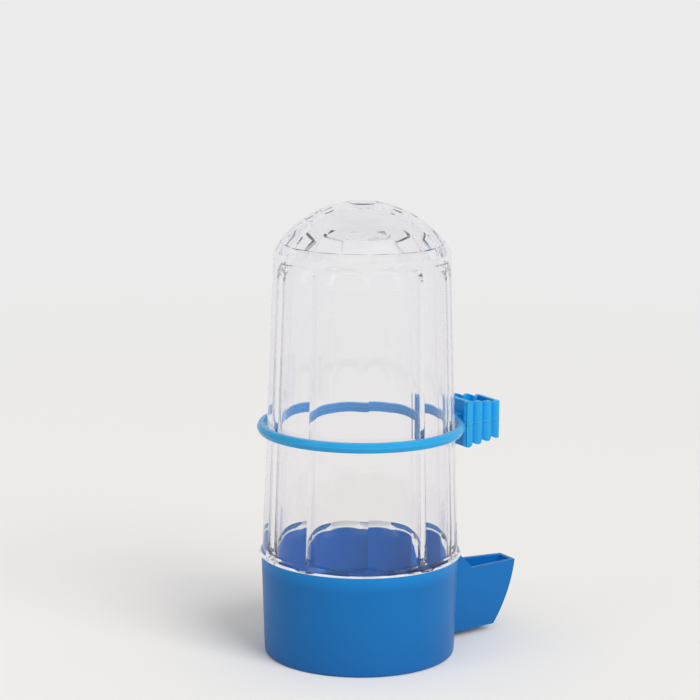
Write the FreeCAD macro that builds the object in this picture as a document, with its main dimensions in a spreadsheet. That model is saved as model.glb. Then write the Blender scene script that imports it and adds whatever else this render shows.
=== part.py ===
"""Fountain feeder: a clear reservoir that stands in a blue cup with a spout, and a cage clip that slides on it.

The frame has its origin at the centre of the cup's underside, +Z up, with the spout and the clip towards +X.
"""
import FreeCAD, Part

import os
import re
from itertools import pairwise
from math import atan2, pi

import Sketcher
from FreeCAD import Placement, Rotation, Vector

doc = FreeCAD.newDocument("fountain_feeder")

# Driving dimensions in millimetres and degrees. A reach is measured from the reservoir's axis.
SIZES = {
    "cup_height": 31.8,
    "cup_rim_radius": 31.0,
    "cup_taper": 1.1,
    "cup_wall": 1.0,
    "cup_foot_round": 1.0,
    "cup_floor": 1.8,
    "cup_floor_round": 1.5,
    "spout_length": 25.4,
    "spout_toe_length": 16.7,
    "spout_nose_radius": 43.0,
    "spout_lip_height": 22.7,
    "spout_base_height": 2.4,
    "spout_root_width": 14.2,
    "spout_lip_width": 8.4,
    "spout_slope_length": 7.4,
    "spout_slope_angle": 45.0,
    "spout_wall": 1.2,
    "spout_floor": 1.3,
    "key_angle": 22.0,
    "key_height": 1.2,
    "key_depth": 0.8,
    "key_clearance": 0.3,
    "total_height": 142.7,
    "dome_rise": 15.5,
    "dome_wall": 2.0,
    "dome_top_angle": 8.0,
    "tube_step": 0.3,
    "tube_taper": 3.3,
    "tube_wall": 1.9,
    "ridge_wall": 3.6,
    "flange_height": 1.7,
    "flange_lip": 0.4,
    "flange_overhang": 0.75,
    "seat_gap": 0.1,
    "mouth_gap": 8.4,
    "spigot_wall": 0.8,
    "spigot_clearance": 0.2,
    "throat_height": 2.0,
    "flute_radius": 15.0,
    "flute_turn": 23.9,
    "flute_end_drop": 8.7,
    "feed_notch_width": 11.0,
    "feed_notch_height": 6.0,
    "feed_notch_chamfer": 2.75,
    "ring_level": 72.1,
    "ring_height": 3.0,
    "ring_wall": 2.75,
    "ring_crown": 0.6,
    "ring_clearance": 0.3,
    "neck_width": 9.0,
    "neck_height": 2.6,
    "neck_length": 1.8,
    "clip_drop": 1.6,
    "clip_root_width": 16.6,
    "clip_tip_width": 11.6,
    "clip_root_height": 15.2,
    "clip_tip_height": 12.1,
    "clip_wall": 1.0,
    "clip_plate": 1.2,
    "clip_tip_land": 0.4,
    "ridge_lead": 1.2,
    "ridge_pitch": 4.1,
    "ridge_depth": 1.2,
    "groove_span": 1.05,
    "lobe_rise": 0.8,
}
FLUTE_COUNT = 9
RIDGE_COUNT = 4
DOME_SIDES = 2 * FLUTE_COUNT
DOME_BANDS = 5
# How far a cut or a joined block runs past the face that it crosses.
OVERCUT = "2"

# Levels and radii that follow from the driving dimensions.
SEAT_LEVEL = "(cup_height + seat_gap)"
MOUTH_LEVEL = "(cup_floor + mouth_gap)"
FLANGE_TOP = f"({SEAT_LEVEL} + flange_height)"
FLANGE_RADIUS = "(cup_rim_radius + flange_overhang)"
TUBE_FOOT_RADIUS = "(cup_rim_radius - tube_step)"
SHOULDER_RADIUS = f"({TUBE_FOOT_RADIUS} - tube_taper)"
SHOULDER_LEVEL = "(total_height - dome_rise)"
TUBE_SLOPE = f"(tube_taper / ({SHOULDER_LEVEL} - {FLANGE_TOP}))"
DOME_RADIUS = f"(({SHOULDER_RADIUS}^2 + dome_rise^2) / 2 / dome_rise)"
DOME_CENTRE = f"(total_height - {DOME_RADIUS})"
INNER_DOME = f"({DOME_RADIUS} - dome_wall)"
INNER_SHOULDER_ANGLE = f"asin(({SHOULDER_RADIUS} - ridge_wall) / {INNER_DOME})"
SPOUT_REACH = "(cup_rim_radius + spout_length)"
SPOUT_SLOPE = "((spout_root_width - spout_lip_width) / 2 / spout_length)"
CLIP_LEVEL = "(ring_level - clip_drop)"
CLIP_LENGTH = f"(ridge_lead + {RIDGE_COUNT - 1} * ridge_pitch + clip_tip_land)"
CLIP_TAPER = f"atan((clip_root_width - clip_tip_width) / 2 / {CLIP_LENGTH})"
RIDGE_LEAN = "(2 * atan(2 * ridge_depth / ridge_pitch))"
RIDGE_BEND = f"((ridge_pitch - groove_span) / 2 / sin({RIDGE_LEAN}))"
GROOVE_BEND = f"(groove_span / 2 / sin({RIDGE_LEAN}))"


def fill_sheet():
    """Spreadsheet that holds the driving dimensions under their names."""
    sheet = doc.addObject("Spreadsheet::Sheet", "Sizes")
    for row, (alias, size) in enumerate(SIZES.items(), start=1):
        sheet.set(f"A{row}", alias)
        sheet.set(f"B{row}", str(size))
        sheet.setAlias(f"B{row}", alias)
    doc.recompute()
    return sheet


SHEET = fill_sheet()


def bound(expression):
    """Expression in which each dimension's name points to its cell in the sheet."""
    return re.sub(r"[a-z]+_[a-z_]+", lambda name: f"Sizes.{name.group()}", expression)


def number(expression):
    """Number that an expression gives with the present sizes."""
    result = SHEET.evalExpression(bound(expression))
    return float(getattr(result, "Value", result))


def drive(feature, **expressions):
    """Tie properties of a feature to expressions."""
    for name, expression in expressions.items():
        feature.setExpression(name, bound(expression))


def new_body(label):
    """Empty body that carries the sub-part's name."""
    body = doc.addObject("PartDesign::Body", label)
    body.Label = label
    return body


def origin_plane(body, role):
    """One of the body's own origin planes or axes."""
    return next(item for item in body.Origin.OriginFeatures if item.Role == role)


def new_sketch(body, name, role="XZ_Plane", level=None):
    """Sketch on an origin plane, moved along the plane's normal if a level is given."""
    sketch = body.newObject("Sketcher::SketchObject", name)
    sketch.AttachmentSupport = [(origin_plane(body, role), "")]
    sketch.MapMode = "FlatFace"
    if level is not None:
        sketch.setExpression(".AttachmentOffset.Base.z", bound(level))
    return sketch


def pin_corner(sketch, edge, end, x, y):
    """Fix one end of an edge by expressions for its coordinates; a zero puts it on the axis."""
    for kind, axis, term in (("DistanceX", -2, x), ("DistanceY", -1, y)):
        if term == "0":
            sketch.addConstraint(Sketcher.Constraint("PointOnObject", edge, end, axis))
            continue
        index = sketch.addConstraint(Sketcher.Constraint(kind, -1, 1, edge, end, number(term)))
        sketch.setExpression(f"Constraints[{index}]", bound(term))


def add_arc(sketch, start, end, radius, side):
    """Arc of under half a turn that bulges to the left (side 1) or right (side -1) of start to end."""
    chord = end - start
    rise = (number(radius) ** 2 - (chord.Length / 2) ** 2) ** 0.5
    left = Vector(-chord.y, chord.x, 0).normalize()
    centre = (start + end) * 0.5 - left * (side * rise)
    first, last = (end, start) if side == 1 else (start, end)
    angles = [atan2(point.y - centre.y, point.x - centre.x) for point in (first, last)]
    if angles[1] < angles[0]:
        angles[1] += 2 * pi
    circle = Part.Circle(centre, Vector(0, 0, 1), number(radius))
    edge = sketch.addGeometry(Part.ArcOfCircle(circle, *angles))
    index = sketch.addConstraint(Sketcher.Constraint("Radius", edge, number(radius)))
    sketch.setExpression(f"Constraints[{index}]", bound(radius))
    return (edge, 2, 1) if side == 1 else (edge, 1, 2)


def add_outline(sketch, corners):
    """Closed outline through corners (x, y); (x, y, radius, side) starts an arc instead of a line."""
    points = [Vector(number(x), number(y), 0) for x, y, *_ in corners]
    edges = []
    for (_, _, *bend), (start, end) in zip(corners, pairwise([*points, points[0]])):
        if bend:
            edges.append(add_arc(sketch, start, end, *bend))
        else:
            edges.append((sketch.addGeometry(Part.LineSegment(start, end)), 1, 2))
    for (edge, _, last), (following, its_first, _) in pairwise([*edges, edges[0]]):
        sketch.addConstraint(Sketcher.Constraint("Coincident", edge, last, following, its_first))
    for (edge, first, _), (x, y, *_) in zip(edges, corners):
        pin_corner(sketch, edge, first, x, y)
    return [edge for edge, _, _ in edges]


def revolve(body, kind, name, corners):
    """Revolution or Groove of an outline about the reservoir's axis."""
    sketch = new_sketch(body, f"{name}_profile")
    add_outline(sketch, corners)
    feature = body.newObject(f"PartDesign::{kind}", name)
    feature.Profile = sketch
    feature.ReferenceAxis = (sketch, ["V_Axis"])
    feature.Angle = 360
    doc.recompute()
    return feature


def extrude(body, kind, name, sketch, length=None, symmetric=True):
    """Pad or Pocket of a sketch, through everything if no length is given."""
    feature = body.newObject(f"PartDesign::{kind}", name)
    feature.Profile = sketch
    feature.SideType = "Symmetric" if symmetric else "One side"
    if length is None:
        feature.Type = "ThroughAll"
    else:
        feature.Type = "Length"
        drive(feature, Length=length)
    doc.recompute()
    return feature


def cup_radius(level):
    """Outer radius of the cup's wall at a level."""
    return f"(cup_rim_radius - cup_taper * (1 - {level} / cup_height))"


def spout_half_width(reach, inset):
    """Half the spout's width at a reach, less a wall."""
    return f"(spout_lip_width / 2 + ({SPOUT_REACH} - {reach}) * {SPOUT_SLOPE} - {inset})"


def build_spout_block(body, base, inset, outline):
    """Tapered block with the spout's plan, cut to a side outline."""
    root, lip = f"(cup_rim_radius - cup_wall - 2 * {OVERCUT})", f"({SPOUT_REACH} - {inset})"
    plan = new_sketch(body, f"{body.Label}_plan", "XY_Plane", base)
    add_outline(plan, [
        (root, f"-{spout_half_width(root, inset)}"),
        (lip, f"-{spout_half_width(lip, inset)}"),
        (lip, spout_half_width(lip, inset)),
        (root, spout_half_width(root, inset)),
    ])
    extrude(body, "Pad", f"{body.Label}_block", plan, f"cup_height + {OVERCUT} - {base}", symmetric=False)
    side = new_sketch(body, f"{body.Label}_side")
    add_outline(side, outline)
    extrude(body, "Pocket", f"{body.Label}_trim", side)


def build_trough_core():
    """Space inside the spout, which also opens the cup's wall into it."""
    body = new_body("trough_core")
    floor = "(spout_base_height + spout_floor)"
    toe, lip = "(cup_rim_radius + spout_toe_length - spout_wall)", f"({SPOUT_REACH} - spout_wall)"
    outside, above = f"({SPOUT_REACH} + {OVERCUT})", f"(cup_height + 2 * {OVERCUT})"
    build_spout_block(body, floor, "spout_wall", [
        (toe, floor, "spout_nose_radius", -1),
        (lip, "spout_lip_height"),
        (lip, above),
        (outside, above),
        (outside, f"({floor} - {OVERCUT})"),
        (toe, f"({floor} - {OVERCUT})"),
    ])
    return body


def build_base_cup():
    """Round cup with a drinking spout on its side and a key on its rim."""
    body = new_body("base_cup")
    inside, toe = f"(cup_rim_radius - cup_wall - 3 * {OVERCUT})", "(cup_rim_radius + spout_toe_length)"
    outside, above = f"({SPOUT_REACH} + {OVERCUT})", f"(cup_height + 2 * {OVERCUT})"
    slope_foot = "(cup_rim_radius + spout_slope_length)"
    slope_top = f"({slope_foot} - (cup_height - spout_lip_height) / tan(spout_slope_angle))"
    build_spout_block(body, "spout_base_height", "0", [
        (toe, "spout_base_height", "spout_nose_radius", -1),
        (SPOUT_REACH, "spout_lip_height"),
        (slope_foot, "spout_lip_height"),
        (slope_top, "cup_height"),
        (inside, "cup_height"),
        (inside, above),
        (outside, above),
        (outside, f"(spout_base_height - {OVERCUT})"),
        (toe, f"(spout_base_height - {OVERCUT})"),
    ])
    foot, bend = cup_radius("cup_foot_round"), "(cup_floor + cup_floor_round)"
    revolve(body, "Revolution", "cup_shell", [
        ("0", "0"),
        (f"({foot} - cup_foot_round)", "0", "cup_foot_round", -1),
        (foot, "cup_foot_round"),
        ("cup_rim_radius", "cup_height"),
        ("0", "cup_height"),
    ])
    revolve(body, "Groove", "cup_bore", [
        ("0", "cup_floor"),
        (f"({cup_radius(bend)} - cup_wall - cup_floor_round)", "cup_floor", "cup_floor_round", -1),
        (f"({cup_radius(bend)} - cup_wall)", bend),
        (f"({cup_radius(above)} - cup_wall)", above),
        ("0", above),
    ])
    trough = body.newObject("PartDesign::Boolean", "trough")
    trough.Type = "Cut"
    trough.setObjects([build_trough_core()])
    doc.recompute()
    key = revolve(body, "Revolution", "key", [
        ("-cup_rim_radius", "cup_height"),
        ("-cup_rim_radius", "(cup_height + key_height)"),
        ("(key_depth - cup_rim_radius)", "(cup_height + key_height)"),
        ("(key_depth - cup_rim_radius)", "(cup_height - key_height)"),
    ])
    key.Midplane = True
    drive(key, Angle="key_angle")
    body.Tip = key
    return body


def tube_radius(level):
    """Outer radius of the reservoir's tube at a level."""
    return f"({TUBE_FOOT_RADIUS} - ({level} - {FLANGE_TOP}) * {TUBE_SLOPE})"


def flute_centre(level):
    """Reach of a flute's own axis at a level: the wall and the flute's radius in from the tube's outside."""
    return f"({tube_radius(level)} - tube_wall - flute_radius)"


def cut_flutes(body):
    """Round-ended hollow flutes inside the tube, which leave sharp ridges between them."""
    start, end = SEAT_LEVEL, f"({SHOULDER_LEVEL} - flute_end_drop)"
    tip = f"({end} + flute_radius)"
    sketch = new_sketch(body, "flute_profile")
    sketch.AttachmentOffset = Placement(Vector(), Rotation(Vector(0, 1, 0), number("flute_turn")))
    sketch.setExpression(".AttachmentOffset.Rotation.Angle", bound("flute_turn"))
    edges = add_outline(sketch, [
        (flute_centre(start), start),
        (f"({flute_centre(start)} + flute_radius)", start),
        (f"({flute_centre(end)} + flute_radius)", end, "flute_radius", -1),
        (flute_centre(tip), tip),
    ])
    axis = sketch.addGeometry(Part.LineSegment(
        Vector(number(flute_centre(start)), number(start), 0),
        Vector(number(flute_centre(tip)), number(tip), 0),
    ), True)
    sketch.addConstraint(Sketcher.Constraint("Coincident", axis, 1, edges[0], 1))
    sketch.addConstraint(Sketcher.Constraint("Coincident", axis, 2, edges[-1], 1))
    flute = body.newObject("PartDesign::Groove", "flute")
    flute.Profile = sketch
    flute.ReferenceAxis = (sketch, ["Axis0"])
    flute.Angle = 360
    doc.recompute()
    flutes = body.newObject("PartDesign::PolarPattern", "flutes")
    flutes.Originals = [flute]
    flutes.Axis = (origin_plane(body, "Z_Axis"), [""])
    flutes.Angle = 360
    flutes.Occurrences = FLUTE_COUNT
    body.Tip = flutes
    doc.recompute()


def cut_faceted_dome(body):
    """Inside of the dome in flat facets, two columns of them over each flute."""
    sections = []
    for band in range(DOME_BANDS + 1):
        share = f"({DOME_BANDS - band} / {DOME_BANDS})"
        angle = f"(dome_top_angle * 1deg + ({INNER_SHOULDER_ANGLE} - dome_top_angle * 1deg) * {share})"
        radius, level = f"{INNER_DOME} * sin({angle})", f"{DOME_CENTRE} + {INNER_DOME} * cos({angle})"
        sketch = new_sketch(body, f"dome_section_{band}", "XY_Plane", level)
        add_outline(sketch, [
            (f"({radius} * cos({turn}))", f"({radius} * sin({turn}))")
            for turn in (f"(flute_turn + {360 * side / DOME_SIDES})" for side in range(DOME_SIDES))
        ])
        sections.append(sketch)
    dome = body.newObject("PartDesign::SubtractiveLoft", "dome_facets")
    dome.Profile = sections[0]
    dome.Sections = sections[1:]
    dome.Ruled = True
    body.Tip = dome
    doc.recompute()
    return dome


def build_reservoir():
    """Clear moulded tube with a domed top, a flange that sits on the cup's rim and a spigot below it."""
    body = new_body("reservoir")
    spigot_foot, spigot_top = (f"({cup_radius(level)} - cup_wall - spigot_clearance)"
                               for level in (MOUTH_LEVEL, SEAT_LEVEL))
    throat = f"({SEAT_LEVEL} + throat_height)"
    inner_shoulder = f"({DOME_CENTRE} + {INNER_DOME} * cos({INNER_SHOULDER_ANGLE}))"
    revolve(body, "Revolution", "outer_wall", [
        ("0", MOUTH_LEVEL),
        (spigot_foot, MOUTH_LEVEL),
        (spigot_top, SEAT_LEVEL),
        (FLANGE_RADIUS, SEAT_LEVEL),
        (FLANGE_RADIUS, f"({SEAT_LEVEL} + flange_lip)"),
        (TUBE_FOOT_RADIUS, FLANGE_TOP),
        (SHOULDER_RADIUS, SHOULDER_LEVEL, DOME_RADIUS, -1),
        ("0", "total_height"),
    ])
    revolve(body, "Groove", "bore", [
        ("0", MOUTH_LEVEL),
        (f"({spigot_foot} - spigot_wall)", MOUTH_LEVEL),
        (f"({spigot_top} - spigot_wall)", SEAT_LEVEL),
        (f"({tube_radius(throat)} - ridge_wall)", throat),
        (f"({SHOULDER_RADIUS} - ridge_wall)", inner_shoulder),
        ("0", inner_shoulder),
    ])
    cut_flutes(body)
    cut_faceted_dome(body)
    mouth = new_sketch(body, "feed_notch_outline", "YZ_Plane")
    half, notch_top = "(feed_notch_width / 2)", f"({MOUTH_LEVEL} + feed_notch_height)"
    add_outline(mouth, [
        (f"-{half}", f"({MOUTH_LEVEL} - {OVERCUT})"),
        (half, f"({MOUTH_LEVEL} - {OVERCUT})"),
        (half, f"({notch_top} - feed_notch_chamfer)"),
        (f"({half} - feed_notch_chamfer)", notch_top),
        (f"(feed_notch_chamfer - {half})", notch_top),
        (f"-{half}", f"({notch_top} - feed_notch_chamfer)"),
    ])
    notch = extrude(body, "Pocket", "feed_notch", mouth, symmetric=False)
    notch.Reversed = True
    keyway = revolve(body, "Groove", "keyway", [
        (f"(-{FLANGE_RADIUS} - {OVERCUT})", f"({SEAT_LEVEL} - flange_lip)"),
        (f"(-{FLANGE_RADIUS} - {OVERCUT})", "(cup_height + key_height + key_clearance)"),
        ("(key_depth + key_clearance - cup_rim_radius)", "(cup_height + key_height + key_clearance)"),
        ("(key_depth + key_clearance - cup_rim_radius)", f"({SEAT_LEVEL} - flange_lip)"),
    ])
    keyway.Midplane = True
    drive(keyway, Angle=f"key_angle + 2 * key_clearance / cup_rim_radius * 180 / {pi}")
    body.Tip = keyway
    return body


# Outside of the ring, and the reaches of the clip's two ends.
RING_RADIUS = f"({tube_radius('ring_level')} + ring_clearance + ring_wall)"
CLIP_ROOT = f"({RING_RADIUS} + neck_length)"
CLIP_TIP = f"({CLIP_ROOT} + {CLIP_LENGTH})"


def wall_curve(side):
    """Corners of one face of the corrugated wall: side 1 is its outer face, -1 its inner face."""
    half = f"({side} * clip_wall / 2)"
    corners = []
    for ridge in range(RIDGE_COUNT):
        crest = f"(ridge_lead + {ridge} * ridge_pitch)"
        reach = "((ridge_pitch - groove_span) / 2)"
        rise = f"({half} * cos({RIDGE_LEAN}))"
        shift = f"({half} * sin({RIDGE_LEAN}))"
        ridge_bend = f"({RIDGE_BEND} + {half})"
        corners.append((f"({crest} - {reach} - {shift})", rise, ridge_bend, 1))
        if ridge < RIDGE_COUNT - 1:
            corners.append((f"({crest} + {reach} + {shift})", rise, f"({GROOVE_BEND} - {half})", -1))
    last_crest = f"(ridge_lead + {RIDGE_COUNT - 1} * ridge_pitch)"
    corners.append((last_crest, f"({RIDGE_BEND} * (1 - cos({RIDGE_LEAN})) + {half})"))
    return corners


def build_side_wall(body):
    """Corrugated side walls of the clip, which the cage's wires snap into."""
    outer, inner = wall_curve(1), wall_curve(-1)
    corners = list(outer)
    for place in range(len(inner) - 1, -1, -1):
        point = inner[place][:2]
        bend = inner[place - 1][2:] if place else ()
        corners.append((*point, bend[0], -bend[1]) if bend else point)
    sketch = new_sketch(body, "side_wall_plan", "XY_Plane", CLIP_LEVEL)
    add_outline(sketch, corners)
    sketch.setExpression(".AttachmentOffset.Base.x", bound(CLIP_ROOT))
    crest_offset = f"clip_root_width / 2 - clip_wall / 2 - {RIDGE_BEND} * (1 - cos({RIDGE_LEAN}))"
    sketch.setExpression(".AttachmentOffset.Base.y", bound(crest_offset))
    sketch.setExpression(".AttachmentOffset.Rotation.Angle", bound(f"-{CLIP_TAPER}"))
    wall = extrude(body, "Pad", "side_wall", sketch, "clip_root_height")
    other = body.newObject("PartDesign::Mirrored", "other_side_wall")
    other.Originals = [wall]
    other.MirrorPlane = (origin_plane(body, "XZ_Plane"), [""])
    body.Tip = other
    doc.recompute()


def build_plate(body, name, level, start, end, width, height):
    """Flat plate of the clip across the XZ plane, centred on a level."""
    sketch = new_sketch(body, f"{name}_plan", "XY_Plane", level)
    half = f"({width} / 2)"
    add_outline(sketch, [(start, f"-{half}"), (end, f"-{half}"), (end, half), (start, half)])
    extrude(body, "Pad", name, sketch, height)


def trim_clip(body):
    """Top and bottom of the clip, lower towards its tip, with a rounded lobe over each ridge."""
    sketch = new_sketch(body, "clip_trim_side")
    start = f"({CLIP_ROOT} + ridge_lead - ridge_pitch / 2)"
    end = f"({start} + {RIDGE_COUNT} * ridge_pitch)"
    bend = "((ridge_pitch^2 / 4 + lobe_rise^2) / 2 / lobe_rise)"
    fall = f"((clip_root_height - clip_tip_height) / 2 / {CLIP_LENGTH})"
    for side in (1, -1):
        edge = [
            (
                f"({start} + {ridge} * ridge_pitch)",
                f"({CLIP_LEVEL} + {side} * (clip_root_height / 2 - lobe_rise"
                f" - ({start} + {ridge} * ridge_pitch - {CLIP_ROOT}) * {fall}))",
                bend,
                side,
            )
            for ridge in range(RIDGE_COUNT)
        ]
        last = f"({CLIP_LEVEL} + {side} * (clip_root_height / 2 - lobe_rise - ({end} - {CLIP_ROOT}) * {fall}))"
        beyond = f"({CLIP_LEVEL} + {side} * (clip_root_height / 2 + {OVERCUT}))"
        add_outline(sketch, edge + [(end, last), (end, beyond), (start, beyond)])
    extrude(body, "Pocket", "clip_trim", sketch)


def build_clip_ring():
    """Ring that slides on the tapered tube, with the hollow corrugated tongue of the cage clip."""
    body = new_body("clip_ring")
    low, high = "(ring_level - ring_height / 2)", "(ring_level + ring_height / 2)"
    edge, inside = f"({RING_RADIUS} - ring_crown)", f"({RING_RADIUS} - {OVERCUT})"
    bend = "((ring_height^2 / 4 + ring_crown^2) / 2 / ring_crown)"
    build_plate(body, "neck", "ring_level", inside, f"({CLIP_ROOT} + clip_plate / 2)", "neck_width",
                "neck_height")
    build_plate(body, "root_plate", CLIP_LEVEL, CLIP_ROOT, f"({CLIP_ROOT} + clip_plate)",
                "clip_root_width", "clip_root_height")
    build_plate(body, "tip_plate", CLIP_LEVEL, f"({CLIP_TIP} - clip_plate)", CLIP_TIP,
                "clip_tip_width", "clip_root_height")
    build_side_wall(body)
    trim_clip(body)
    revolve(body, "Revolution", "ring", [
        (inside, low),
        (edge, low, bend, -1),
        (edge, high),
        (inside, high),
    ])
    below, above = "(ring_level - ring_height)", "(ring_level + ring_height)"
    revolve(body, "Groove", "ring_bore", [
        ("0", below),
        (f"({tube_radius(below)} + ring_clearance)", below),
        (f"({tube_radius(above)} + ring_clearance)", above),
        ("0", above),
    ])
    return body


def check_document(bodies):
    """Stop if any object failed or a sub-part is not one valid solid."""
    doc.recompute()
    for item in doc.Objects:
        if {"Invalid", "Error"} & set(item.State):
            raise RuntimeError(f"{item.Name} failed: {item.State}")
    for body in bodies:
        if body.Shape.isNull() or not body.Shape.isValid() or len(body.Shape.Solids) != 1:
            raise RuntimeError(f"{body.Label} is not one valid solid")


def main():
    """Build the three sub-parts and write each to its own file."""
    bodies = [build_reservoir(), build_base_cup(), build_clip_ring()]
    check_document(bodies)
    os.makedirs("parts", exist_ok=True)
    for body in bodies:
        body.Shape.exportStep(f"parts/{body.Label}.step")
        print(f"{body.Label}: {body.Shape.Volume / 1000:.2f} cm3, {len(body.Shape.Faces)} faces")


main()
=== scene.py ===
"""Fountain feeder in Blender: a clear fluted reservoir that stands in a blue cup, with a cage clip on a ring.

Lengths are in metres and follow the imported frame: the cup's underside is at height 0, and the spout
and the clip point along +X.
"""
import logging
import math
from dataclasses import dataclass
from enum import Enum
from typing import Callable, Optional, Union

import bmesh
import bpy
from mathutils import Matrix, Vector


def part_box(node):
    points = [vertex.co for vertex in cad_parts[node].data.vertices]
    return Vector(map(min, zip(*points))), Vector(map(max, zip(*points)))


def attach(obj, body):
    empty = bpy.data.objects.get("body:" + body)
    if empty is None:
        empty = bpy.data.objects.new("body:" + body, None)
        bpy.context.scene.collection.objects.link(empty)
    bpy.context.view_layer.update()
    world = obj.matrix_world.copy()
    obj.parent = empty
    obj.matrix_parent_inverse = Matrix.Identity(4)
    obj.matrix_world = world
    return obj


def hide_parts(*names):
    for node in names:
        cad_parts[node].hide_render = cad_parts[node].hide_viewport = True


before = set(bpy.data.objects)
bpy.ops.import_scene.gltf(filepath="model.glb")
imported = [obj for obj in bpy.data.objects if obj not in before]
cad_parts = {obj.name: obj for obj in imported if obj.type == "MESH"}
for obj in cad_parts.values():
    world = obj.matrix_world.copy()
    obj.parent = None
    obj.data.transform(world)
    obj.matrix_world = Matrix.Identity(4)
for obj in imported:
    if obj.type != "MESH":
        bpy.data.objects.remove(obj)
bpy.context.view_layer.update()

LOG = logging.getLogger("fountain_feeder")
VIEW_AZIMUTH = math.radians(31.0)  # How far the spout lies to the back of the image's right.
NEAR = 0.00003  # Points closer than this to a place or level count as being there.
DOUBLES = 0.000001  # Points closer than this are one point.

Colour = tuple[float, float, float]


class Node(Enum):
    """Sub-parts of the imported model."""

    RESERVOIR = "reservoir"
    BASE_CUP = "base_cup"
    CLIP_RING = "clip_ring"


class Body(Enum):
    """Bodies that pieces ride on."""

    TUBE = "tube"
    CUP = "cup"
    CLIP = "clip"


class Slot(Enum):
    """Material slots of the record."""

    CLEAR = "clear_plastic"
    CUP = "cup_plastic"
    CLIP = "clip_plastic"


def screen_colour(red: int, green: int, blue: int) -> Colour:
    """Colour of a screen's 0 to 255 values, as the linear values that Blender's sockets take.

    Args:
        red: Red value as an image shows it.
        green: Green value as an image shows it.
        blue: Blue value as an image shows it.

    Returns:
        Linear red, green and blue, from 0 to 1.
    """
    def linear(value: int) -> float:
        """Linear share of one screen value."""
        share = value / 255
        return share / 12.92 if share <= 0.04045 else ((share + 0.055) / 1.055) ** 2.4

    return linear(red), linear(green), linear(blue)


def from_view(right: float, back: float, up: float) -> Vector:
    """Place given to the image's right, away from the camera and up, in the part's frame."""
    return Matrix.Rotation(-VIEW_AZIMUTH, 3, "Z") @ Vector((right, back, up))


class Graph:
    """A node tree, emptied and filled one node at a time."""

    def __init__(self, tree: bpy.types.NodeTree) -> None:
        """Empty the tree.

        Args:
            tree: The tree to fill.
        """
        self.tree = tree
        self.tree.nodes.clear()

    def node(self, kind: str, links: Optional[dict] = None, **settings: object) -> bpy.types.Node:
        """Add a node.

        Args:
            kind: Blender's name of the node type.
            links: Input names or numbers with the sockets that feed them.
            **settings: Node properties, or inputs by their name with underscores for spaces.

        Returns:
            The new node.
        """
        made = self.tree.nodes.new(kind)
        for key, value in settings.items():
            if hasattr(made, key):
                setattr(made, key, value)
            else:
                made.inputs[key.replace("_", " ")].default_value = value
        for key, source in (links or {}).items():
            self.tree.links.new(source, made.inputs[key])
        return made

    def mix(self, share: bpy.types.NodeSocket, first: Union[Colour, bpy.types.NodeSocket],
            second: Colour) -> bpy.types.NodeSocket:
        """Mix two colours.

        Args:
            share: Gives the second colour's share.
            first: A linear colour, or the socket that gives it.
            second: A linear colour.

        Returns:
            The socket of the mixed colour.
        """
        made = self.node("ShaderNodeMix", {"Factor": share}, data_type="RGBA")
        if isinstance(first, bpy.types.NodeSocket):
            self.tree.links.new(first, made.inputs["A"])
        else:
            made.inputs["A"].default_value = (*first, 1)
        made.inputs["B"].default_value = (*second, 1)
        return made.outputs["Result"]

    def place(self) -> bpy.types.NodeSocket:
        """Add the place on the piece, which is its place in the part's frame."""
        return self.node("ShaderNodeTexCoord").outputs["Object"]


class Shader(Graph):
    """A material's node tree."""

    def __init__(self, name: str) -> None:
        """Start an empty material.

        Args:
            name: The material's name.
        """
        self.material = bpy.data.materials.new(name)
        self.material.use_nodes = True
        super().__init__(self.material.node_tree)

    def finish(self, surface: bpy.types.NodeSocket) -> bpy.types.Material:
        """Close the tree with its surface and hand over the material."""
        self.node("ShaderNodeOutputMaterial", {"Surface": surface})
        return self.material


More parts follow.
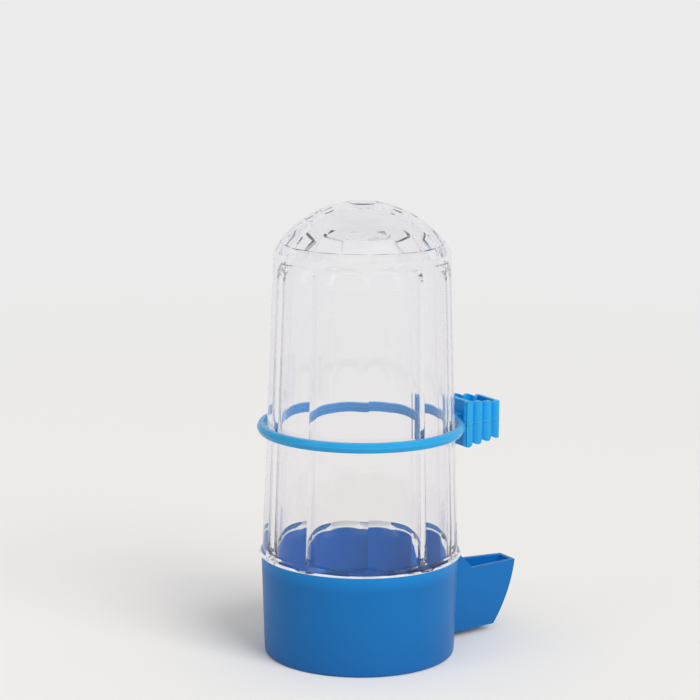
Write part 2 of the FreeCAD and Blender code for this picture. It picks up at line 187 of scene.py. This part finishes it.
@dataclass(frozen=True)
class MouldedPlastic:
    """Opaque injection-moulded plastic with a satin skin and softened edges.

    Attributes:
        name: The material's name.
        base: Linear base colour.
        low: Linear colour near the floor, painted darker for the shade that falls towards the bottom.
        rim: Linear colour at the top edge, painted lighter for the light that falls on the top of the wall.
        painted_edge_light: Linear colour of the edges, a painted highlight where they catch the light.
        painted_inner_glow: Linear colour of the walls that face the axis, a painted glow for the light
            between them.
        top: Level of the top edge.
        plain: Shares of that level between which the wall has its base colour.
        marks: Scale of the faint flow marks, per metre.
        deep: Share by which the flow marks are darker.
        glow: Linear radii of the light that spreads under the skin, as shares of spread.
        spread: How far light spreads under the skin.
        depth: Share of the light that spreads under the skin.
        roughness: Mean roughness of the skin.
        stray: How far the roughness strays from its mean.
        gloss: Strength of the skin's reflection.
        grain: Size of the skin's grain.
        relief: Full height of the grain.
        relief_share: Share of that height that shows.
        edge: Radius of the softened edges.
        edge_turns: Cosines of the turns at which an edge starts to get the painted highlight and gets it
            fully.
        edge_share: Share of the painted highlight's colour on an edge that gets it fully.
        painted_glow_turns: Distance from the axis times the cosine between the wall's normal and outward,
            where
        the painted glow starts and is full.
    """

    name: str
    base: Colour
    low: Colour
    rim: Colour
    painted_edge_light: Colour
    painted_inner_glow: Colour
    top: float
    plain: tuple[float, float] = (0.55, 0.85)
    marks: float = 45.0
    deep: float = 0.08
    glow: Colour = (0.3, 0.7, 1.0)
    spread: float = 0.0012
    depth: float = 0.0
    roughness: float = 0.34
    stray: float = 0.05
    gloss: float = 0.35
    grain: float = 0.0006
    relief: float = 0.0002
    relief_share: float = 0.05
    edge: float = 0.00035
    edge_turns: tuple[float, float] = (0.995, 0.8)
    edge_share: float = 0.8
    painted_glow_turns: tuple[float, float] = (-0.005, -0.015)

    def build(self) -> bpy.types.Material:
        """Make the material.

        Returns:
            The Blender material.
        """
        shader = Shader(self.name)
        place = shader.place()
        flat = shader.node("ShaderNodeNewGeometry").outputs["Normal"]
        soft = shader.node("ShaderNodeBevel", samples=6, Radius=self.edge).outputs["Normal"]
        # Painted light: the walls that face the axis get a lighter glow, as if lit by the light between them.
        wall = shader.mix(self.inner_glow_share(shader, place, flat), self.wall_colour_with_painted_light(shader, place), self.painted_inner_glow)
        flow = shader.node("ShaderNodeTexNoise", {"Vector": place}, Scale=self.marks, Detail=3.0,
                           Roughness=0.55)
        marks = shader.node("ShaderNodeMapRange", {"Value": flow.outputs["Fac"]}, To_Min=1.0,
                            To_Max=1 - self.deep)
        marked = shader.node("ShaderNodeVectorMath", {0: wall, "Scale": marks.outputs["Result"]},
                             operation="SCALE")
        # Painted highlight: the edges are mixed towards a lighter colour, as if they caught the light.
        tint = shader.mix(self.painted_edge_light_share(shader, soft, flat), marked.outputs["Vector"], self.painted_edge_light)
        grain = shader.node("ShaderNodeTexNoise", {"Vector": place}, Scale=1 / self.grain, Detail=2.0)
        skin = shader.node("ShaderNodeBump", {"Height": grain.outputs["Fac"], "Normal": soft},
                           Strength=self.relief_share, Distance=self.relief)
        rough = shader.node("ShaderNodeMapRange", {"Value": grain.outputs["Fac"]},
                            To_Min=self.roughness - self.stray, To_Max=self.roughness + self.stray)
        body = shader.node("ShaderNodeBsdfPrincipled", {"Base Color": tint,
                           "Roughness": rough.outputs["Result"], "Normal": skin.outputs["Normal"]},
                           Specular_IOR_Level=self.gloss, Subsurface_Weight=self.depth,
                           Subsurface_Radius=self.glow, Subsurface_Scale=self.spread)
        return shader.finish(body.outputs["BSDF"])

    def wall_colour_with_painted_light(self, shader: Shader, place: bpy.types.NodeSocket) -> bpy.types.NodeSocket:
        """Grade the wall's colour from the floor to the top edge: painted shade near the floor, painted light
        at the top.

        Args:
            shader: The material's tree.
            place: Place on the piece.

        Returns:
            The socket of the colour.
        """
        level = shader.node("ShaderNodeSeparateXYZ", {"Vector": place}).outputs["Z"]
        share = shader.node("ShaderNodeMapRange", {"Value": level}, From_Min=0.0, From_Max=self.top)
        wall = shader.node("ShaderNodeValToRGB", {"Fac": share.outputs["Result"]})
        stops = wall.color_ramp.elements
        start, end = self.plain
        # Painted shade and light: darker near the floor, lighter at the top edge.
        painted_light_grades = ((0.0, self.low), (start, self.base), (end, self.base), (1.0, self.rim))
        for stop, (at, colour) in zip((stops[0], stops.new(start), stops.new(end), stops[-1]), painted_light_grades):
            stop.position, stop.color = at, (*colour, 1)
        return wall.outputs["Color"]

    def inner_glow_share(self, shader: Shader, place: bpy.types.NodeSocket,
                    flat: bpy.types.NodeSocket) -> bpy.types.NodeSocket:
        """Find the walls that face the axis, which get the painted glow.

        Args:
            shader: The material's tree.
            place: Place on the piece.
            flat: Normal of the surface.

        Returns:
            The socket of the painted glow's share.
        """
        outward = shader.node("ShaderNodeVectorMath", {0: place}, operation="MULTIPLY")
        outward.inputs[1].default_value = (1, 1, 0)
        facing = shader.node("ShaderNodeVectorMath", {0: flat, 1: outward.outputs["Vector"]},
                             operation="DOT_PRODUCT")
        start, full = self.painted_glow_turns
        share = shader.node("ShaderNodeMapRange", {"Value": facing.outputs["Value"]}, From_Min=start,
                            From_Max=full)
        return share.outputs["Result"]

    def painted_edge_light_share(self, shader: Shader, soft: bpy.types.NodeSocket,
                   flat: bpy.types.NodeSocket) -> bpy.types.NodeSocket:
        """Find the edges for the painted highlight, where the softened normal turns away from the surface's
        own.

        Args:
            shader: The material's tree.
            soft: Normal of the softened surface.
            flat: Normal of the surface.

        Returns:
            The socket of the painted highlight's share.
        """
        turn = shader.node("ShaderNodeVectorMath", {0: soft, 1: flat}, operation="DOT_PRODUCT")
        start, full = self.edge_turns
        share = shader.node("ShaderNodeMapRange", {"Value": turn.outputs["Value"]}, From_Min=start,
                            From_Max=full, To_Max=self.edge_share)
        return share.outputs["Result"]


@dataclass(frozen=True)
class ClearPlastic:
    """Clear polystyrene, faintly lavender where it is seen edge on, that lets lamps through.

    Attributes:
        name: The material's name.
        face: Linear tint where it is seen face on.
        rim: Linear tint where it is seen edge on.
        shadow: Linear share of a lamp's light that each of its faces lets through.
        mirror: Linear tint of what it mirrors face on.
        ior: Index of refraction.
        roughness: Roughness of its polished skin.
        slant: How soon it counts as seen edge on.
        waves: Scale of the skin's faint waves, per metre.
        wave_height: Full height of the waves.
        wave_share: Share of that height that shows.
    """

    name: str
    face: Colour
    rim: Colour
    shadow: Colour = (0.93, 0.93, 0.95)
    mirror: Colour = (0.6, 0.62, 0.8)
    ior: float = 1.57
    roughness: float = 0.01
    slant: float = 0.25
    waves: float = 70.0
    wave_height: float = 0.001
    wave_share: float = 0.03

    def build(self) -> bpy.types.Material:
        """Make the material.

        Returns:
            The Blender material.
        """
        shader = Shader(self.name)
        waves = shader.node("ShaderNodeTexNoise", {"Vector": shader.place()}, Scale=self.waves, Detail=1.0)
        skin = shader.node("ShaderNodeBump", {"Height": waves.outputs["Fac"]}, Strength=self.wave_share,
                           Distance=self.wave_height)
        slant = shader.node("ShaderNodeLayerWeight", Blend=self.slant)
        tint = shader.mix(slant.outputs["Facing"], self.face, self.rim)
        body = shader.node("ShaderNodeBsdfPrincipled", {"Base Color": tint, "Normal": skin.outputs["Normal"]},
                           Roughness=self.roughness, IOR=self.ior, Transmission_Weight=1.0,
                           Specular_Tint=(*self.mirror, 1))
        window = shader.node("ShaderNodeBsdfTransparent", Color=(*self.shadow, 1))
        path = shader.node("ShaderNodeLightPath")
        both = shader.node("ShaderNodeMixShader", {0: path.outputs["Is Shadow Ray"], 1: body.outputs["BSDF"],
                           2: window.outputs["BSDF"]})
        return shader.finish(both.outputs["Shader"])


def dress(piece: bpy.types.Object, material: bpy.types.Material) -> None:
    """Give a piece one material all over."""
    piece.data.materials.clear()
    piece.data.materials.append(material)


def reach(place: Vector) -> float:
    """Distance of a place from the reservoir's axis."""
    return math.hypot(place.x, place.y)


def copy_of(node: bpy.types.Object, name: str) -> bpy.types.Object:
    """Copy a sub-part's mesh into a new piece, ready to be shaped in edit mode.

    Args:
        node: The sub-part.
        name: The new piece's name.

    Returns:
        The new piece, alone in the selection, with its doubles merged and in edit mode.
    """
    piece = bpy.data.objects.new(name, node.data.copy())
    bpy.context.scene.collection.objects.link(piece)
    bpy.ops.object.select_all(action="DESELECT")
    piece.select_set(True)
    bpy.context.view_layer.objects.active = piece
    bpy.ops.mesh.customdata_custom_splitnormals_clear()
    bpy.ops.object.mode_set(mode="EDIT")
    bpy.ops.mesh.select_all(action="SELECT")
    bpy.ops.mesh.remove_doubles(threshold=DOUBLES)
    return piece


def pick_points(piece: bpy.types.Object, wanted: Callable[[Vector], bool]) -> None:
    """Select the points of a piece in edit mode, and the edges between them, by their place.

    Args:
        piece: The piece.
        wanted: Says of a place whether its point is selected.
    """
    bpy.ops.mesh.select_mode(type="VERT")
    bpy.ops.mesh.select_all(action="DESELECT")
    shape = bmesh.from_edit_mesh(piece.data)
    for point in shape.verts:
        point.select_set(wanted(point.co))
    shape.select_flush(True)
    bmesh.update_edit_mesh(piece.data)


def pick_edges(piece: bpy.types.Object, wanted: Callable[[bmesh.types.BMEdge], bool]) -> None:
    """Select edges of a piece in edit mode.

    Args:
        piece: The piece.
        wanted: Says of an edge whether it is selected.
    """
    bpy.ops.mesh.select_mode(type="EDGE")
    bpy.ops.mesh.select_all(action="DESELECT")
    for edge in bmesh.from_edit_mesh(piece.data).edges:
        edge.select_set(wanted(edge))
    bmesh.update_edit_mesh(piece.data)


def pick_rings(piece: bpy.types.Object, wanted: Callable[[Vector], bool]) -> None:
    """Select the level edges of a piece in edit mode whose two ends are wanted.

    Args:
        piece: The piece.
        wanted: Says of an end's place whether it is wanted.
    """
    def level_and_wanted(edge: bmesh.types.BMEdge) -> bool:
        """Whether an edge is level and both its ends are wanted."""
        one, other = (end.co for end in edge.verts)
        return abs(one.z - other.z) < NEAR and wanted(one) and wanted(other)

    pick_edges(piece, level_and_wanted)


def scale_across(share: float) -> None:
    """Scale the selection towards the reservoir's axis or away from it."""
    bpy.ops.transform.resize(value=(share, share, 1), center_override=(0, 0, 0))


def close_shape(crease: float) -> None:
    """Leave edit mode with normals that point outwards, smooth up to an angle.

    Args:
        crease: Degrees between two faces from which their edge stays sharp.
    """
    bpy.ops.mesh.select_all(action="SELECT")
    bpy.ops.mesh.normals_make_consistent(inside=False)
    bpy.ops.object.mode_set(mode="OBJECT")
    bpy.ops.object.shade_smooth_by_angle(angle=math.radians(crease))


def fit(piece: bpy.types.Object, material: bpy.types.Material, body: Body) -> None:
    """Dress a new piece and hang it on its body.

    Args:
        piece: The piece.
        material: Its material.
        body: The body that it rides on.
    """
    dress(piece, material)
    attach(piece, body.value)
    LOG.info("%s: %d faces on %s", piece.name, len(piece.data.polygons), body.value)


@dataclass
class Reservoir:
    """Clear tube with flutes and a faceted dome inside, and a flange that sits on the cup's rim.

    Attributes:
        plastic: Finish of the whole moulding.
        seat_level: Level of the flange's underside.
        spigot_radius: Outside of the spigot where it meets the flange.
        foot_level: Level at which the tube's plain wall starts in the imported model.
        flange_radius: Outside of the flange.
        lip_height: Height of the flange's upright edge.
        slope_height: Height of the whole flange, up to where its slope meets the tube.
        slope_radius: Outside of the tube at that level.
        lip_round: Radius of the lip's two edges.
        lip_steps: Faces across each of them.
        ridge_radius: Inside of the spigot at the seat, where the flutes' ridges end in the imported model.
        ridge_drop: How far the ridges run down inside the spigot.
        ridge_share: Share by which the spigot is narrower there.
        crease: Degrees between two faces from which their edge stays sharp.
        dome_level: Level at which the dome's facets start.
        dome_crease: The same angle in the dome.
    """

    plastic: ClearPlastic
    seat_level: float = 0.0319
    spigot_radius: float = 0.0298
    foot_level: float = 0.0336
    flange_radius: float = 0.03175
    lip_height: float = 0.0002
    slope_height: float = 0.0021
    slope_radius: float = 0.030685
    lip_round: float = 0.00008
    lip_steps: int = 7
    ridge_radius: float = 0.029
    ridge_drop: float = 0.0025
    ridge_share: float = 0.996
    crease: float = 8.0
    dome_level: float = 0.127
    dome_crease: float = 12.0

    def build(self) -> None:
        """Shape the moulding and dress it."""
        shell = copy_of(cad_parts[Node.RESERVOIR.value], "reservoir_shell")
        self.take_off_flange(shell)
        self.add_flange(shell)
        close_shape(self.crease)
        bpy.ops.object.mode_set(mode="EDIT")
        self.soften_dome(shell)
        self.run_ridges_down(shell)
        bpy.ops.object.mode_set(mode="OBJECT")
        fit(shell, self.plastic.build(), Body.TUBE)
        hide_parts(Node.RESERVOIR.value)

    def at_seat(self, place: Vector) -> bool:
        """Whether a place is level with the flange's underside."""
        return abs(place.z - self.seat_level) < NEAR

    def take_off_flange(self, shell: bpy.types.Object) -> None:
        """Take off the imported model's flange, between the top of the spigot and the foot of the tube."""
        low, high = self.seat_level - NEAR, self.foot_level - NEAR
        pick_points(shell, lambda place: low < place.z < high and reach(place) > self.spigot_radius + NEAR)
        bpy.ops.mesh.delete(type="VERT")

    def add_flange(self, shell: bpy.types.Object) -> None:
        """Draw a thin unbroken flange down from the tube's foot and join it to the spigot."""
        pick_points(shell, lambda place: abs(place.z - self.foot_level) < NEAR
                    and reach(place) > self.spigot_radius)
        foot = [point.co for point in bmesh.from_edit_mesh(shell.data).verts if point.select]
        level, radius = self.foot_level, max(reach(place) for place in foot)
        corners = (
            (self.slope_radius, self.seat_level + self.slope_height),
            (self.flange_radius, self.seat_level + self.lip_height),
            (self.flange_radius, self.seat_level),
        )
        for step, (next_radius, next_level) in enumerate(corners):
            if step:
                bpy.ops.mesh.extrude_region_move()
            bpy.ops.transform.translate(value=(0, 0, next_level - level))
            scale_across(next_radius / radius)
            level, radius = next_level, next_radius
        pick_rings(shell, lambda place: self.at_seat(place) and reach(place) > self.spigot_radius - NEAR)
        bpy.ops.mesh.bridge_edge_loops()
        pick_rings(shell, lambda place: reach(place) > self.flange_radius - NEAR)
        bpy.ops.mesh.bevel(offset=self.lip_round, segments=self.lip_steps, affect="EDGES")

    def soften_dome(self, shell: bpy.types.Object) -> None:
        """Soften the shallow edges between the dome's facets, which the moulding blurs."""
        def shallow(edge: bmesh.types.BMEdge) -> bool:
            """Whether an edge is in the dome and shallow."""
            in_dome = all(end.co.z > self.dome_level for end in edge.verts)
            return in_dome and edge.calc_face_angle(math.pi) < math.radians(self.dome_crease)

        pick_edges(shell, shallow)
        bpy.ops.mesh.mark_sharp(clear=True)

    def run_ridges_down(self, shell: bpy.types.Object) -> None:
        """Run the flutes' ridges down inside the spigot, so that the cup shows through their feet."""
        pick_points(shell, lambda place: self.at_seat(place) and reach(place) < self.ridge_radius + NEAR)
        bpy.ops.transform.translate(value=(0, 0, -self.ridge_drop))
        scale_across(self.ridge_share)


@dataclass
class BaseCup:
    """Blue cup with its drinking spout.

    Attributes:
        plastic: Finish of the whole moulding.
        rim_level: Level of the plain rim.
        crease: Degrees between two faces from which their edge stays sharp.
    """

    plastic: MouldedPlastic
    rim_level: float = 0.0318
    crease: float = 20.0

    def build(self) -> None:
        """Shape the moulding and dress it."""
        shell = copy_of(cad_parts[Node.BASE_CUP.value], "cup_shell")
        pick_points(shell, lambda place: place.z > self.rim_level + NEAR)
        bpy.ops.mesh.delete(type="VERT")
        bpy.ops.mesh.select_all(action="SELECT")
        bpy.ops.mesh.fill_holes(sides=0)
        close_shape(self.crease)
        fit(shell, self.plastic.build(), Body.CUP)
        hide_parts(Node.BASE_CUP.value)


@dataclass
class ClipRing:
    """Ring and cage clip, with the seam where the halves of their mould met.

    Attributes:
        plastic: Finish of the whole moulding.
        plate_end: Reach of the root plate's outer end along X.
        plate_half_width: Half the root plate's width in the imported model.
        wall_half_width: Half the distance between the outsides of the side walls at the plate's end.
        root_reach: Reach of the clip's root along X.
        ring_level: Mid-level of the ring.
        ring_reach: How far above and below it the ring's points lie.
        crown_radius: Radius beyond which the ring's points are on its crown.
        crown_share: Share by which the crown is drawn in to leave room for the seam.
        seam_height: Height of the seam.
        seam_rise: How far the seam stands out of the walls.
        crease: Degrees between two faces from which their edge stays sharp.
        seam_crease: The same angle on the seams.
    """

    plastic: MouldedPlastic
    plate_end: float = 0.03539
    plate_half_width: float = 0.0083
    wall_half_width: float = 0.0081
    root_reach: float = 0.0343
    ring_level: float = 0.0721
    ring_reach: float = 0.004
    crown_radius: float = 0.031
    crown_share: float = 0.9963
    seam_height: float = 0.0003
    seam_rise: float = 0.00012
    crease: float = 20.0
    seam_crease: float = 40.0

    def build(self) -> None:
        """Shape the moulding, dress it and add its seams."""
        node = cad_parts[Node.CLIP_RING.value]
        low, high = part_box(Node.CLIP_RING.value)
        material = self.plastic.build()
        shell = self.build_shell(node)
        fit(shell, material, Body.CLIP)
        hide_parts(Node.CLIP_RING.value)
        seams = (
            ("clip_seam", (low[2] + high[2]) / 2, 1),
            ("ring_seam", self.ring_level, -1),
        )
        for name, level, side in seams:
            fit(self.build_seam(node, name, level, side), material, Body.CLIP)

    def build_shell(self, node: bpy.types.Object) -> bpy.types.Object:
        """Draw the root plate's outer end in, so that its sides run into the first ribs without a step.

        Args:
            node: The clip ring.

        Returns:
            The moulding.
        """
        shell = copy_of(node, "clip_shell")
        pick_points(shell, lambda place: abs(place.x - self.plate_end) < NEAR
                    and abs(place.y) > self.plate_half_width - NEAR)
        bpy.ops.transform.resize(value=(1, self.wall_half_width / self.plate_half_width, 1),
                                 center_override=(0, 0, 0))
        self.draw_crown_in(shell)
        close_shape(self.crease)
        return shell

    def draw_crown_in(self, piece: bpy.types.Object) -> None:
        """Draw the ring's crown in by the seam's rise, so that the seam stays inside the ring's size."""
        pick_points(piece, lambda place: abs(place.z - self.ring_level) < self.ring_reach
                    and place.x < self.root_reach - NEAR and reach(place) > self.crown_radius)
        scale_across(self.crown_share)

    def build_seam(self, node: bpy.types.Object, name: str, level: float, side: int) -> bpy.types.Object:
        """Cut a thin slice out of a copy of the moulding and swell it.

        Args:
            node: The clip ring.
            name: The seam's name.
            level: The seam's mid-level.
            side: 1 for the part beyond the clip's root, -1 for the part before it.

        Returns:
            The seam.
        """
        seam = copy_of(node, name)
        cuts = (
            ((0, 0, level - self.seam_height / 2), (0, 0, 1)),
            ((0, 0, level + self.seam_height / 2), (0, 0, -1)),
            ((self.root_reach, 0, level), (side, 0, 0)),
        )
        for place, inward in cuts:
            bpy.ops.mesh.select_all(action="SELECT")
            bpy.ops.mesh.bisect(plane_co=place, plane_no=inward, use_fill=True, clear_inner=True)
        bpy.ops.mesh.select_all(action="SELECT")
        bpy.ops.mesh.normals_make_consistent(inside=False)
        bpy.ops.transform.shrink_fatten(value=self.seam_rise)
        self.draw_crown_in(seam)
        close_shape(self.seam_crease)
        return seam


@dataclass
class PhotoCamera:
    """The photograph's viewpoint.

    Attributes:
        distance: From the reservoir's axis, level with the ground.
        height: Above the cup's underside.
        pitch: Degrees that the camera looks down.
        yaw: Degrees that it looks to the right.
        roll: Degrees that it leans.
        lens: Focal length in millimetres.
        sensor: Width of the sensor in millimetres.
    """

    distance: float = 0.708235
    height: float = 0.227152
    pitch: float = 10.4774
    yaw: float = -0.2910
    roll: float = 0.4208
    lens: float = 119.57
    sensor: float = 36.0

    def build(self) -> None:
        """Make the camera and make it the scene's."""
        pitch, yaw, roll = (math.radians(value) for value in (self.pitch, self.yaw, self.roll))
        ahead = Vector((math.sin(yaw) * math.cos(pitch), math.cos(yaw) * math.cos(pitch), -math.sin(pitch)))
        level = Vector((math.cos(yaw), -math.sin(yaw), 0))
        upright = level.cross(ahead)
        right = level * math.cos(roll) + upright * math.sin(roll)
        up = upright * math.cos(roll) - level * math.sin(roll)
        data = bpy.data.cameras.new("photo_camera")
        data.lens = self.lens
        data.sensor_width = self.sensor
        camera = bpy.data.objects.new("photo_camera", data)
        bpy.context.scene.collection.objects.link(camera)
        axes = Matrix([from_view(*side) for side in (right, up, -ahead)]).transposed().to_4x4()
        axes.translation = from_view(0, -self.distance, self.height)
        camera.matrix_world = axes
        bpy.context.scene.camera = camera
        LOG.info("camera: %.0f mm lens", self.lens)


@dataclass(frozen=True)
class KeyLight:
    """Broad soft light over the camera's right shoulder, which the clear plastic doesn't mirror.

    Attributes:
        source: Where it comes from: to the image's right, away from the camera and up.
        strength: Its strength.
        width: Degrees that it is wide.
    """

    source: tuple[float, float, float] = (0.6, -0.7, 0.65)
    strength: float = 1.9
    width: float = 35.0

    def hang(self) -> None:
        """Hang the light."""
        data = bpy.data.lights.new("key_light", "SUN")
        data.energy = self.strength
        data.angle = math.radians(self.width)
        lamp = bpy.data.objects.new("key_light", data)
        bpy.context.scene.collection.objects.link(lamp)
        lamp.rotation_euler = from_view(*self.source).to_track_quat("Z", "Y").to_euler()
        lamp.visible_glossy = lamp.visible_transmission = False


@dataclass(frozen=True)
class SoftBox:
    """Soft lamp that faces the feeder.

    Attributes:
        name: The lamp's name.
        centre: Its place: to the image's right, away from the camera and up.
        width: Its width.
        height: Its height.
        watts: Its power.
        aim: Level on the reservoir's axis that it faces.
    """

    name: str
    centre: tuple[float, float, float]
    width: float
    height: float
    watts: float
    aim: float = 0.07

    def hang(self) -> None:
        """Hang the lamp."""
        data = bpy.data.lights.new(self.name, "AREA")
        data.shape = "RECTANGLE"
        data.size = self.width
        data.size_y = self.height
        data.energy = self.watts
        lamp = bpy.data.objects.new(self.name, data)
        bpy.context.scene.collection.objects.link(lamp)
        lamp.location = from_view(*self.centre)
        lamp.rotation_euler = (Vector((0, 0, self.aim)) - lamp.location).to_track_quat("-Z", "Y").to_euler()


@dataclass
class Studio:
    """Pale floor, pale surroundings and soft lamps.

    Attributes:
        shade: Linear colour of what shows behind the floor.
        paper: Linear colour of the floor, which its light brings down to that shade.
        ambient: Strength of the light from all round.
        bounces: How often a ray may turn inside the clear plastic.
        floor_size: Side of the square floor.
        floor_fade: Distances at which the floor starts to fade and is gone.
        lamps: The lamps.
    """

    shade: Colour = screen_colour(235, 235, 235)
    paper: Colour = screen_colour(243, 241, 238)
    ambient: float = 0.52
    bounces: int = 32
    floor_size: float = 3.0
    floor_fade: tuple[float, float] = (0.15, 0.8)
    lamps: tuple[Union[KeyLight, SoftBox], ...] = (
        KeyLight(),
        SoftBox("left_box", (-0.75, -0.5, 0.6), width=0.3, height=0.8, watts=1.0),
        SoftBox("right_box", (0.75, -0.6, 0.5), width=0.2, height=1.0, watts=0.5),
        SoftBox("top_box", (0.1, -0.35, 0.9), width=0.9, height=0.25, watts=0.5),
    )

    def build(self) -> None:
        """Make the floor, the surroundings and the lamps."""
        scene = bpy.context.scene
        scene.view_settings.view_transform = "Standard"
        scene.cycles.max_bounces = self.bounces
        scene.cycles.transmission_bounces = self.bounces
        scene.cycles.glossy_bounces = self.bounces
        scene.cycles.transparent_max_bounces = self.bounces
        self.build_world(scene)
        self.build_floor()
        for lamp in self.lamps:
            lamp.hang()
        LOG.info("studio: floor, surroundings and %d lamps", len(self.lamps))

    def build_world(self, scene: bpy.types.Scene) -> None:
        """Light the surroundings, and show them in the floor's shade."""
        world = bpy.data.worlds.new("surroundings")
        world.use_nodes = True
        scene.world = world
        graph = Graph(world.node_tree)
        shown = graph.node("ShaderNodeBackground", Color=(*self.shade, 1))
        light = graph.node("ShaderNodeBackground", Color=(1, 1, 1, 1), Strength=self.ambient)
        path = graph.node("ShaderNodeLightPath")
        seen = path.outputs["Is Camera Ray"]
        for kind in ("Is Transmission Ray", "Is Glossy Ray"):
            either = graph.node("ShaderNodeMath", {0: seen, 1: path.outputs[kind]}, operation="MAXIMUM")
            seen = either.outputs[0]
        both = graph.node("ShaderNodeMixShader", {0: seen, 1: light.outputs[0], 2: shown.outputs[0]})
        graph.node("ShaderNodeOutputWorld", {"Surface": both.outputs[0]})

    def build_floor(self) -> None:
        """Make the floor, which fades into the surroundings well away from the feeder."""
        bpy.ops.object.select_all(action="DESELECT")
        bpy.ops.mesh.primitive_plane_add(size=self.floor_size, location=(0, 0, 0))
        floor = bpy.context.object
        floor.name = "studio_floor"
        shader = Shader("pale_floor")
        away = shader.node("ShaderNodeVectorMath", {0: shader.place()}, operation="LENGTH")
        start, gone = self.floor_fade
        fade = shader.node("ShaderNodeMapRange", {"Value": away.outputs["Value"]}, From_Min=start,
                           From_Max=gone)
        matt = shader.node("ShaderNodeBsdfDiffuse", Color=(*self.paper, 1))
        clear = shader.node("ShaderNodeBsdfTransparent")
        both = shader.node("ShaderNodeMixShader", {0: fade.outputs["Result"], 1: matt.outputs[0],
                           2: clear.outputs[0]})
        dress(floor, shader.finish(both.outputs["Shader"]))


CUP_BLUE = MouldedPlastic(
    "cup_blue",
    base=screen_colour(20, 106, 174),
    # low is painted shade near the floor, and rim is painted light at the top edge.
    low=screen_colour(22, 98, 164),
    rim=screen_colour(24, 130, 202),
    # worn is a painted highlight on the edges.
    painted_edge_light=screen_colour(60, 160, 222),
    # lining is a painted glow on the walls that face the axis.
    painted_inner_glow=screen_colour(6, 120, 214),
    top=0.0318,
    roughness=0.38,
    gloss=0.15,
)
CLIP_BLUE = MouldedPlastic(
    "clip_blue",
    base=screen_colour(26, 156, 216),
    # low is the base colour here; rim is painted light at the top edge, a little lighter.
    low=screen_colour(26, 156, 216),
    rim=screen_colour(28, 162, 222),
    # worn is a painted highlight on the edges.
    painted_edge_light=screen_colour(90, 192, 240),
    # lining is a painted glow on the walls that face the axis.
    painted_inner_glow=screen_colour(14, 154, 230),
    top=0.078,
    depth=0.15,
    roughness=0.25,
    gloss=0.3,
)
CLEAR = ClearPlastic("clear_polystyrene", face=(0.98, 0.978, 0.985), rim=(0.86, 0.84, 0.95))


def main() -> None:
    """Build the studio, the camera and the feeder, and log what is made."""
    logging.basicConfig(level=logging.INFO)
    Studio().build()
    PhotoCamera().build()
    Reservoir(CLEAR).build()
    BaseCup(CUP_BLUE).build()
    ClipRing(CLIP_BLUE).build()


if __name__ == "__main__":
    main()
